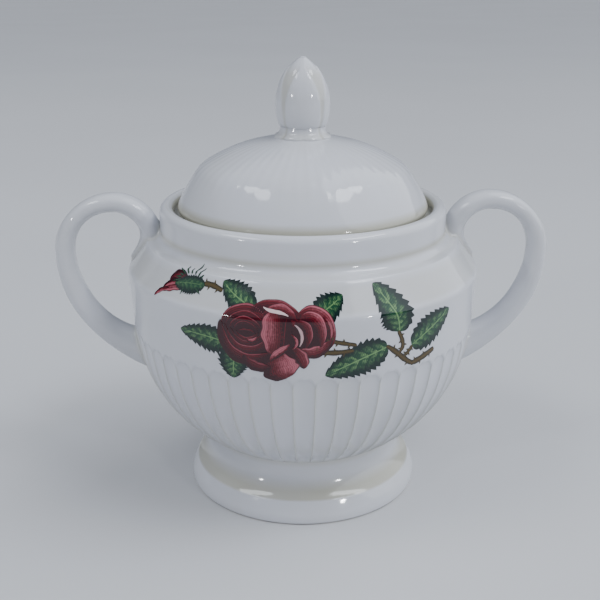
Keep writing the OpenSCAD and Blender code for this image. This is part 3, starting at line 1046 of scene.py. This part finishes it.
def build_finial():
    """The bud: one outer petal over the inner ones and its share of the scalloped collar, copied round."""
    finial = sizes().finial
    count, step, scallop, turn = finial.petals, finial.petal_step / MM, finial.scallop / MM, PETAL_TURN
    collar_z, neck_z = collar_height(), LID_TOP + NECK_UP
    cuts = [i / PETAL_CUTS for i in range(PETAL_CUTS + 1)]
    piece = sector("finial_bud", bud_outline(), turn, count, cuts)
    heights, pools_and_shade = [], []
    top = FINIAL_TOP - 2.6
    for v in piece.data.vertices:
        share, r = column_of(v.co, turn, count)
        z = v.co.z / MM
        up = (z - neck_z) / (top - neck_z)
        half = 0.98 * math.sqrt(max(0.0, 1 - max(up, 0) ** 2.4)) if up < 1 else 0
        inside = (half - abs(share)) / 0.10 if half > 0 else -1
        over = min(max(inside, 0.0), 1.0)
        over = over * over * (3 - 2 * over)
        vein = 0.12 * math.exp(-(share / 0.09) ** 2) * min(max(up, 0), 1)
        low = min(max((z - collar_z - 0.2) / 1.4, 0), 1)
        petal = step * over * low * (1 - vein) if z > collar_z + 0.2 else 0.0
        lobe = abs(math.sin(math.pi * (share + 1)))
        edge = max(0.0, 1 - abs(z - collar_z - 0.1) / 1.5) if r > COLLAR_R - 2.2 else 0.0
        heights.append(max(petal, 0.0) + scallop * edge * lobe ** 0.6)
        # painted shade, partly pooled glaze, in the grooves between the petals and round the foot of the
        # collar
        groove = (1 - over) * (1 - min(max(up - 0.85, 0) * 6, 1))
        pools_and_shade.append(0.5 * groove + 0.3 * max(0, 1 - abs(z - collar_z - 1) / 1.5))
    note(piece, "pool_and_shade", pools_and_shade)
    raise_by(piece, heights, step + scallop)
    all_round(piece, count)
    smooth(piece, 60)
    finish_piece(piece, glaze("cream_glaze_lid"), "lid", "glaze_lid", "lid_finial")


# ---------------------------------------------------------------- printed spray
# mm round the bowl for one degree, how far the lowest patch lies over the glaze, how far each layer
# lies over the one below, how thick a patch is, and how much its rim waves
DEGREE = math.pi * 55.6 / 180
LIFT, LAYER, SKIN = 0.035, 0.0125, 0.14
RUFFLE = 0.07
# bristles of the bud's cup, and thorns on each stem
BRISTLES, THORNS = 15, 4


def lay(x, z, lift):
    """A place of the print, x mm round the bowl from its front and z mm up, as a point over the glaze."""
    a = math.radians(x / DEGREE)
    outline = kept("band", printed_band)
    r, z, _, (nr, nz) = nearest(outline, radius_at(outline, z), z)
    r, z = r + nr * lift, z + nz * lift
    return Vector((r * math.sin(a), -r * math.cos(a), z)) * MM


def printed_band():
    """The bowl's outside above the reeds, and straight on a little below their tops."""
    return bowl_upper() + [(BAND_R, BAND_Z - 4)]


def curve_at(spine, t):
    """A point and a direction on a curve through given control points."""
    points = [Vector(p) for p in spine]
    level = points
    while len(level) > 2:
        level = [a.lerp(b, t) for a, b in zip(level, level[1:])]
    way = (level[1] - level[0]).normalized()
    return level[0].lerp(level[1], t), Vector((-way.y, way.x))


def shape(t, fat, blunt):
    """Half width of a petal or leaf along its length, from 0 to 1."""
    return math.sin(math.pi * t ** fat) ** blunt if 0 < t < 1 else 0.0


def patch(spine, left, right, layer, tone, fat=1.0, blunt=0.6, teeth=0, bite=0.0, n=(34, 14)):
    """One printed petal, leaf or stem: a grid laid on the bowl along a spine in degrees and mm."""
    track = [(a * DEGREE, z) for a, z in spine]
    piece = begin("patch", "grid", x_subdivisions=n[0], y_subdivisions=n[1], size=2)
    bpy.ops.object.mode_set(mode="OBJECT")
    mesh = piece.data
    long = sum(math.dist(curve_at(track, i / 12)[0], curve_at(track, (i + 1) / 12)[0]) for i in range(12))
    places, reach, rim = [], [], []
    for v in mesh.vertices:
        t, s = (v.co.x + 1) / 2, v.co.y
        p, side = curve_at(track, t)
        wide = left if s > 0 else right
        wave = bite * (0.5 - (t * teeth % 1)) if teeth else RUFFLE * math.sin(6 * math.pi * t + layer)
        off = s * wide * shape(t, fat, blunt) * (1 + wave)
        places.append((p.x + side.x * off, p.y + side.y * off, t, s * wide))
        reach.append(t)
        rim.append(s)
    uv = mesh.uv_layers[0]
    uv.name = "UVMap"
    for loop in mesh.loops:
        _, _, t, s = places[loop.vertex_index]
        uv.data[loop.index].uv = (t * long / 10, s / 10)
    for v, (x, z, _, _) in zip(mesh.vertices, places):
        v.co = lay(x, z, LIFT + LAYER * layer)
    note(piece, "reach", reach)
    note(piece, "side", rim)
    note(piece, "tone", [tone] * len(reach))
    edit(piece)
    bpy.ops.mesh.remove_doubles(threshold=1e-6)
    bpy.ops.object.mode_set(mode="OBJECT")
    face = mesh.polygons[len(mesh.polygons) // 2]
    if face.normal.dot(Vector((face.center.x, face.center.y, 0))) < 0:
        mesh.flip_normals()
    return piece


def gather(name, patches, material):
    """Joins printed patches to one piece, gives them the thickness of the print and its colours."""
    pick(*patches)
    bpy.ops.object.join()
    piece = bpy.context.object
    piece.name = piece.data.name = name
    skin = piece.modifiers.new("skin", "SOLIDIFY")
    skin.thickness, skin.offset = SKIN * MM, -1
    bpy.ops.object.modifier_apply(modifier=skin.name)
    smooth(piece, 40)
    finish_piece(piece, material, "bowl", "glaze_bowl")


def build_rose():
    """The rose: a dark ground, the petals at the back, the nested heart, and the folded petals in front."""
    petals = [
        # spine, left, right, layer, tone, fat, blunt
        ([(-25.8, 70.2), (-8.6, 70.2)], 7.2, 8.0, 2, 0.10, 1.0, 0.5),
        ([(-10, 71.2), (6.2, 71.4)], 5.4, 5.4, 2, 0.10, 1.0, 0.5),
        ([(-13.6, 66), (-3, 63)], 3.2, 3.0, 2, 0.10, 1.0, 0.5),
        ([(-15.6, 70.4), (-1.6, 70.8)], 6.8, 6.2, 2.4, 0.10, 1.0, 0.5),
        ([(-17.6, 77.2), (-14, 80.2), (-6, 79.8), (-2.6, 75.6)], 1.0, 2.6, 3, 0.42, 1.0, 0.55),
        ([(-13.6, 76.4), (-10.6, 79.0), (-6.4, 79.0), (-4.0, 75.2)], 1.0, 2.0, 4, 0.66, 1.0, 0.55),
        ([(-4.2, 75.6), (0, 79.8), (7.6, 77.2), (5.9, 67.2)], 1.5, 3.0, 3, 0.62, 1.0, 0.5),
        ([(-4.6, 66.6), (-1, 64.4), (3.6, 65.0), (6.2, 69.6)], 2.2, 1.5, 4, 0.55, 1.0, 0.55),
        ([(-3.0, 75.6), (1.0, 78.2), (5.0, 74.6), (2.8, 67.2)], 1.3, 2.9, 5, 0.72, 1.0, 0.5),
        ([(-4.4, 74.4), (-1.4, 75.6), (1.2, 72.2), (-1.5, 67.2)], 1.1, 2.2, 6, 0.5, 1.0, 0.5),
        ([(-25.6, 72.4), (-25.2, 78.4), (-14.6, 79.6), (-11.2, 72.8)], 1.4, 3.2, 3, 0.36, 1.0, 0.5),
        ([(-24.6, 72.0), (-23.2, 77.6), (-15.2, 77.8), (-12.3, 72.6)], 0.8, 2.6, 4, 0.26, 1.0, 0.5),
        ([(-23.4, 71.6), (-22, 76.2), (-16.2, 76.2), (-13.8, 72.2)], 0.7, 2.2, 5, 0.34, 1.0, 0.5),
        ([(-22.0, 71.4), (-20.8, 74.8), (-17.2, 74.8), (-14.9, 71.6)], 0.6, 1.9, 6, 0.2, 1.0, 0.5),
        ([(-21.0, 71.0), (-15.6, 70.8)], 1.5, 1.6, 7, 0.03, 1.0, 0.5),
        ([(-21.8, 71.6), (-20.6, 68.2), (-16.6, 68.0), (-14.8, 71.4)], 0.9, 1.7, 8, 0.3, 1.0, 0.5),
        ([(-23.3, 72.2), (-22.2, 66.6), (-15.8, 66.0), (-13.3, 71.4)], 1.1, 2.0, 9, 0.24, 1.0, 0.5),
        ([(-24.9, 73.0), (-24.0, 64.8), (-15.8, 63.8), (-11.4, 70.2)], 1.2, 2.3, 10, 0.34, 1.0, 0.5),
        ([(-26.2, 74.2), (-26.2, 63.4), (-18.4, 61.2), (-10.4, 65.8)], 1.5, 2.4, 11, 0.3, 1.0, 0.5),
        ([(-18.6, 69.4), (-17.4, 68.4), (-16, 68.8), (-15, 70.2)], 0.55, 0.8, 12, 0.95, 1.0, 0.6),
        ([(-19.6, 64.2), (-18.2, 61.4), (-15, 60.2), (-11.4, 61.2)], 1.7, 1.6, 12, 0.3, 1.0, 0.55),
        ([(-5.4, 67.2), (-3.2, 65.4), (-2.2, 63), (-1.9, 60.9)], 2.3, 1.7, 6, 0.5, 1.0, 0.6),
        ([(-9.2, 66.8), (-9.8, 63.2), (-8.6, 60.4), (-7.2, 57.7)], 5.6, 5.2, 7, 0.80, 1.5, 0.42),
        ([(-9.4, 65.0), (-10.4, 69), (-10.0, 74.0), (-9.8, 77.8)], 4.1, 3.7, 12, 0.72, 1.05, 0.34),
        ([(-7.6, 66.4), (-6.8, 70), (-6.6, 73.4), (-6.4, 76.6)], 0.7, 1.5, 13, 0.12, 1.0, 0.45),
        ([(-11.6, 63.2), (-10.0, 65.6), (-8.0, 66.4), (-5.8, 68.2)], 1.1, 1.2, 14, 1.25, 1.0, 0.55),
        ([(-13.8, 78.2), (-11.6, 76.8), (-9, 77.6), (-6.2, 76.2)], 0.5, 0.45, 14, 2.0, 1.0, 0.6),
        ([(-4.6, 74.2), (-2.6, 73.0), (-1.6, 70.2), (-3.2, 67.6)], 0.45, 0.5, 7, 1.8, 1.0, 0.6),
        ([(-5.6, 71.4), (-3.6, 69.8), (-3.4, 68.4), (-5.2, 66.8)], 0.5, 0.6, 14, 1.1, 1.0, 0.6),
        ([(3.4, 76.2), (5.6, 74.6), (6.2, 72), (5.4, 69.4)], 0.45, 0.5, 6, 1.2, 1.0, 0.6),
    ]
    gather("print_rose", [patch(*petal) for petal in petals], printed_petals())


def build_leaves():
    """The toothed leaves of the spray, and the cup of the bud with its bristles."""
    leaves = [
        # spine from the stalk to the tip, left, right, layer, tone, teeth
        ([(-16, 77.6), (-21, 79.0), (-25, 81.0), (-28.2, 83.2)], 3.0, 3.8, 0, 1.0, 8),
        ([(-23, 66.8), (-29, 68.4), (-34, 68.2), (-41, 68.4)], 4.4, 3.6, 0, 0.9, 10),
        ([(-21, 66), (-23, 62.6), (-23, 59.6), (-22.8, 56.6)], 4.4, 4.8, 1, 0.9, 8),
        ([(0.6, 76.0), (4, 77.4), (7, 79.0), (9.8, 81.0)], 3.6, 3.4, 0, 0.9, 7),
        ([(23.2, 65.4), (17, 63.8), (11, 61.6), (4.2, 58.6)], 5.0, 4.9, 0, 0.95, 11),
        ([(26.6, 69.4), (27.2, 73), (24.2, 78.4), (20.2, 83.0)], 5.0, 5.2, 0, 1.0, 9),
        ([(31.6, 64.4), (37, 66.8), (42, 69.4), (47.4, 72.0)], 5.0, 4.8, 0, 0.9, 9),
    ]
    made = [patch(*leaf, 0.70, 0.62, teeth, 0.26, (72, 18)) for *leaf, teeth in leaves]
    cup = [(-46.5, 80.2), (-40.5, 81.4), (-34.4, 81.3)]
    made.append(patch(cup, 1.9, 2.5, 6, 0.45, 1.25, 0.5, 13, 0.3, (52, 12)))
    for i in range(BRISTLES):
        turn = math.radians(40 + 19 * i)
        a, z = -40.4 + 4.4 * math.cos(turn), 81.7 + 1.6 * math.sin(turn)
        far = 1.5 + 0.7 * (i % 3)
        b, y = a + far * 1.25 * math.cos(turn + 0.25), z + far * 0.8 * math.sin(turn + 0.25)
        made.append(patch([(a, z), ((a + b) / 2, (z + y) / 2 + 0.15), (b, y)], 0.26, 0.26, 5 + i % 3, 0.3,
                          0.6, 0.7, 4, 0.7, (12, 2)))
    gather("print_leaves", made, printed_leaves())


def build_stems():
    """The thorny stems of the spray."""
    stems = [
        ([(-1, 66.6), (4, 65.4), (7.4, 65.2), (12.6, 65.8)], 0.8),
        ([(4.4, 69.6), (7.4, 68.4), (9.6, 68.2), (13.4, 67.2)], 0.66),
        ([(22.6, 65.8), (26.6, 63.4), (29.6, 59.6), (32.4, 58.6)], 0.85),
        ([(31.6, 58.5), (35, 58.9), (37.6, 59.9), (41.4, 61.0)], 1.0),
        ([(27, 62.8), (29.6, 64.6), (27.8, 67), (26.4, 69.8)], 0.66),
        ([(29, 61.6), (30.4, 62), (31, 63.2), (31.8, 64.2)], 0.6),
        ([(-35.6, 81.5), (-33, 82.1), (-30.6, 81.8), (-27.6, 80.8)], 0.7),
    ]
    made = []
    for spine, wide in stems:
        made.append(patch(spine, wide, wide, 3, 0.6, 1.0, 0.15, n=(30, 4)))
        track = [(a * DEGREE, z) for a, z in spine]
        for i in range(1, THORNS + 1):
            p, side = curve_at(track, i / (THORNS + 1))
            way = 1 if i % 2 else -1
            tip = p + side * way * (wide + 0.75) + Vector((-side.y, side.x)) * 0.4
            foot = p + side * way * wide * 0.4
            ends = [(q.x / DEGREE, q.y) for q in (foot, (foot + tip) / 2, tip)]
            made.append(patch(ends, 0.28, 0.28, 4, 0.6, 0.6, 0.9, n=(8, 2)))
    gather("print_stems", made, printed_stems())


def build_bud():
    """The half open bud at the left of the spray."""
    petals = [
        ([(-41.6, 81.6), (-45, 82.9), (-48.0, 82.2), (-49.6, 80.6)], 1.2, 1.5, 2, 0.5),
        ([(-41, 79.8), (-45, 80.6), (-49.2, 79.2), (-50.8, 77.6)], 1.6, 1.9, 3, 0.62),
        ([(-48, 78.6), (-51, 77.8), (-52.6, 76.8), (-53.0, 75.6)], 0.6, 0.7, 4, 0.8),
        ([(-43, 80.4), (-47, 80.6), (-49, 79.6), (-50.6, 78.4)], 0.5, 0.5, 5, 1.1),
    ]
    gather("print_bud", [patch(*p) for p in petals], printed_petals())


# ---------------------------------------------------------------- studio
CAMERA_TURN, CAMERA_PITCH = math.radians(2.25), 0.33658
CAMERA_FAR, CAMERA_HIGH = 0.2968, 0.16555
CAMERA_LENS, CAMERA_SENSOR, CAMERA_SHIFT = 57, 36, -0.0046666667
AIM = Vector((0, 0, 0.07))
DAYLIGHT, COOL_WHITE = (0.90, 0.94, 1), (0.95, 0.97, 1)
# what the world sheds on the bowl, and the backdrop that is seen
SHED, BACKDROP = (0.155, 0.172, 0.21), (0.42, 0.43, 0.46)
# area lights: turn from the front towards +X and rise in degrees, distance, size, power, colour
LAMPS = (("lamp_left", -50, 15, 1.4, (0.11, 0.035), 3, COOL_WHITE),
         ("lamp_right", 38, 15, 1.4, (0.11, 0.035), 3, COOL_WHITE),
         ("window_left", -70, 54, 1.5, (0.85, 0.36), 6, DAYLIGHT),
         ("window_right", 64, 54, 1.5, (0.9, 0.38), 8, DAYLIGHT))
# broad lights from one side: power, spread in degrees, direction
SUNS = (("key_light", 2.3, 80, (-0.72, -0.05, -0.62)),
        ("ceiling_light", 0.75, 90, (0.32, 0.05, -0.9)))


def new_light(name, kind, power, color):
    """A light of one kind, put into the scene."""
    data = bpy.data.lights.new(name, kind)
    data.energy, data.color = power, color
    light = bpy.data.objects.new(name, data)
    bpy.context.scene.collection.objects.link(light)
    return light


def lamp(name, turn, rise, far, size, power, color):
    """An area light round the bowl that points at its middle."""
    t, e = math.radians(turn), math.radians(rise)
    light = new_light(name, "AREA", power, color)
    light.data.shape, light.data.size, light.data.size_y = "ELLIPSE", *size
    light.location = AIM + Vector((math.sin(t) * math.cos(e), -math.cos(t) * math.cos(e), math.sin(e))) * far
    light.rotation_euler = (AIM - light.location).to_track_quat("-Z", "Y").to_euler()


def sun(name, power, spread, way):
    """A broad light that shines one way."""
    light = new_light(name, "SUN", power, DAYLIGHT)
    light.data.angle = math.radians(spread)
    light.rotation_euler = Vector(way).to_track_quat("-Z", "Y").to_euler()


def build_stage():
    """A pale floor, the lights, the world and the camera."""
    floor = begin("floor", "plane", size=24)
    bpy.ops.mesh.subdivide(number_cuts=1)
    bpy.ops.object.mode_set(mode="OBJECT")
    material, tree, surface = shader("pale_floor")
    place = (tree.nodes.new("ShaderNodeTexCoord"), "Object")
    shade = span(tree, noise(tree, place, 3, 2), 0.3, 0.7)
    pale = tuple(sizes().finish.floor)
    link(tree, mixed(tree, shade, tuple(c * 0.97 for c in pale), pale), (surface, "Base Color"))
    surface.inputs["Roughness"].default_value = 0.6
    floor.data.materials.append(material)
    for setting in LAMPS:
        lamp(*setting)
    for setting in SUNS:
        sun(*setting)
    world = bpy.data.worlds.new("studio")
    world.use_nodes = True
    tree = world.node_tree
    backdrop = tree.nodes["Background"]
    seen = (tree.nodes.new("ShaderNodeLightPath"), "Is Camera Ray")
    link(tree, mixed(tree, seen, SHED, BACKDROP), (backdrop, "Color"))
    bpy.context.scene.world = world
    data = bpy.data.cameras.new("camera")
    data.lens, data.sensor_width, data.shift_x = CAMERA_LENS, CAMERA_SENSOR, CAMERA_SHIFT
    data.clip_start, data.clip_end = 0.01, 60
    camera = bpy.data.objects.new("camera", data)
    camera.location = (-CAMERA_FAR * math.sin(CAMERA_TURN), -CAMERA_FAR * math.cos(CAMERA_TURN), CAMERA_HIGH)
    camera.rotation_euler = (math.pi / 2 - CAMERA_PITCH, 0, -CAMERA_TURN)
    bpy.context.scene.collection.objects.link(camera)
    bpy.context.scene.camera = camera


# ---------------------------------------------------------------- operators, panel and run
class SUGARBOWL_OT_bowl(bpy.types.Operator):
    """Model the reeded bowl"""
    bl_idname = "sugarbowl.bowl"
    bl_label = "Bowl"
    bl_options = {"REGISTER", "UNDO"}

    def execute(self, context):
        build_bowl()
        return {"FINISHED"}


class SUGARBOWL_OT_foot(bpy.types.Operator):
    """Model the turned foot"""
    bl_idname = "sugarbowl.foot"
    bl_label = "Foot"
    bl_options = {"REGISTER", "UNDO"}

    def execute(self, context):
        build_foot()
        return {"FINISHED"}


class SUGARBOWL_OT_handles(bpy.types.Operator):
    """Model the two loop handles"""
    bl_idname = "sugarbowl.handles"
    bl_label = "Handles"
    bl_options = {"REGISTER", "UNDO"}

    def execute(self, context):
        build_handles()
        return {"FINISHED"}


class SUGARBOWL_OT_lid(bpy.types.Operator):
    """Model the domed lid and its locating ring"""
    bl_idname = "sugarbowl.lid"
    bl_label = "Lid"
    bl_options = {"REGISTER", "UNDO"}

    def execute(self, context):
        build_dome()
        build_ring()
        return {"FINISHED"}


class SUGARBOWL_OT_finial(bpy.types.Operator):
    """Model the bud on the lid"""
    bl_idname = "sugarbowl.finial"
    bl_label = "Finial"
    bl_options = {"REGISTER", "UNDO"}

    def execute(self, context):
        build_finial()
        return {"FINISHED"}


class SUGARBOWL_OT_spray(bpy.types.Operator):
    """Lay the printed rose spray on the bowl"""
    bl_idname = "sugarbowl.spray"
    bl_label = "Printed spray"
    bl_options = {"REGISTER", "UNDO"}

    def execute(self, context):
        build_rose()
        build_leaves()
        build_stems()
        build_bud()
        return {"FINISHED"}


class SUGARBOWL_OT_stage(bpy.types.Operator):
    """Set the floor, the lights and the camera"""
    bl_idname = "sugarbowl.stage"
    bl_label = "Stage"
    bl_options = {"REGISTER", "UNDO"}

    def execute(self, context):
        build_stage()
        return {"FINISHED"}


OPERATORS = (SUGARBOWL_OT_bowl, SUGARBOWL_OT_foot, SUGARBOWL_OT_handles, SUGARBOWL_OT_lid,
             SUGARBOWL_OT_finial, SUGARBOWL_OT_spray, SUGARBOWL_OT_stage)


class SUGARBOWL_PT_panel(bpy.types.Panel):
    """Lists the steps and the sizes"""
    bl_idname = "SUGARBOWL_PT_panel"
    bl_label = "Sugar Bowl"
    bl_space_type = "VIEW_3D"
    bl_region_type = "UI"
    bl_category = "Sugar Bowl"

    def draw(self, context):
        for step in OPERATORS:
            self.layout.operator(step.bl_idname)
        for part in ("bowl", "handles", "finial", "finish"):
            group = getattr(context.scene.sugar_bowl, part)
            box = self.layout.box()
            for name in group.bl_rna.properties.keys():
                if name not in ("rna_type", "name"):
                    box.prop(group, name)


CLASSES = (SUGARBOWL_PG_bowl, SUGARBOWL_PG_handles, SUGARBOWL_PG_finial, SUGARBOWL_PG_finish,
           SUGARBOWL_PG_sizes, *OPERATORS, SUGARBOWL_PT_panel)


def register():
    for cls in CLASSES:
        bpy.utils.register_class(cls)
    bpy.types.Scene.sugar_bowl = bpy.props.PointerProperty(type=SUGARBOWL_PG_sizes)


def unregister():
    del bpy.types.Scene.sugar_bowl
    for cls in reversed(CLASSES):
        bpy.utils.unregister_class(cls)


def main():
    register()
    bpy.ops.sugarbowl.bowl()
    bpy.ops.sugarbowl.foot()
    bpy.ops.sugarbowl.handles()
    bpy.ops.sugarbowl.lid()
    bpy.ops.sugarbowl.finial()
    bpy.ops.sugarbowl.spray()
    bpy.ops.sugarbowl.stage()


if __name__ == "__main__":
    main()
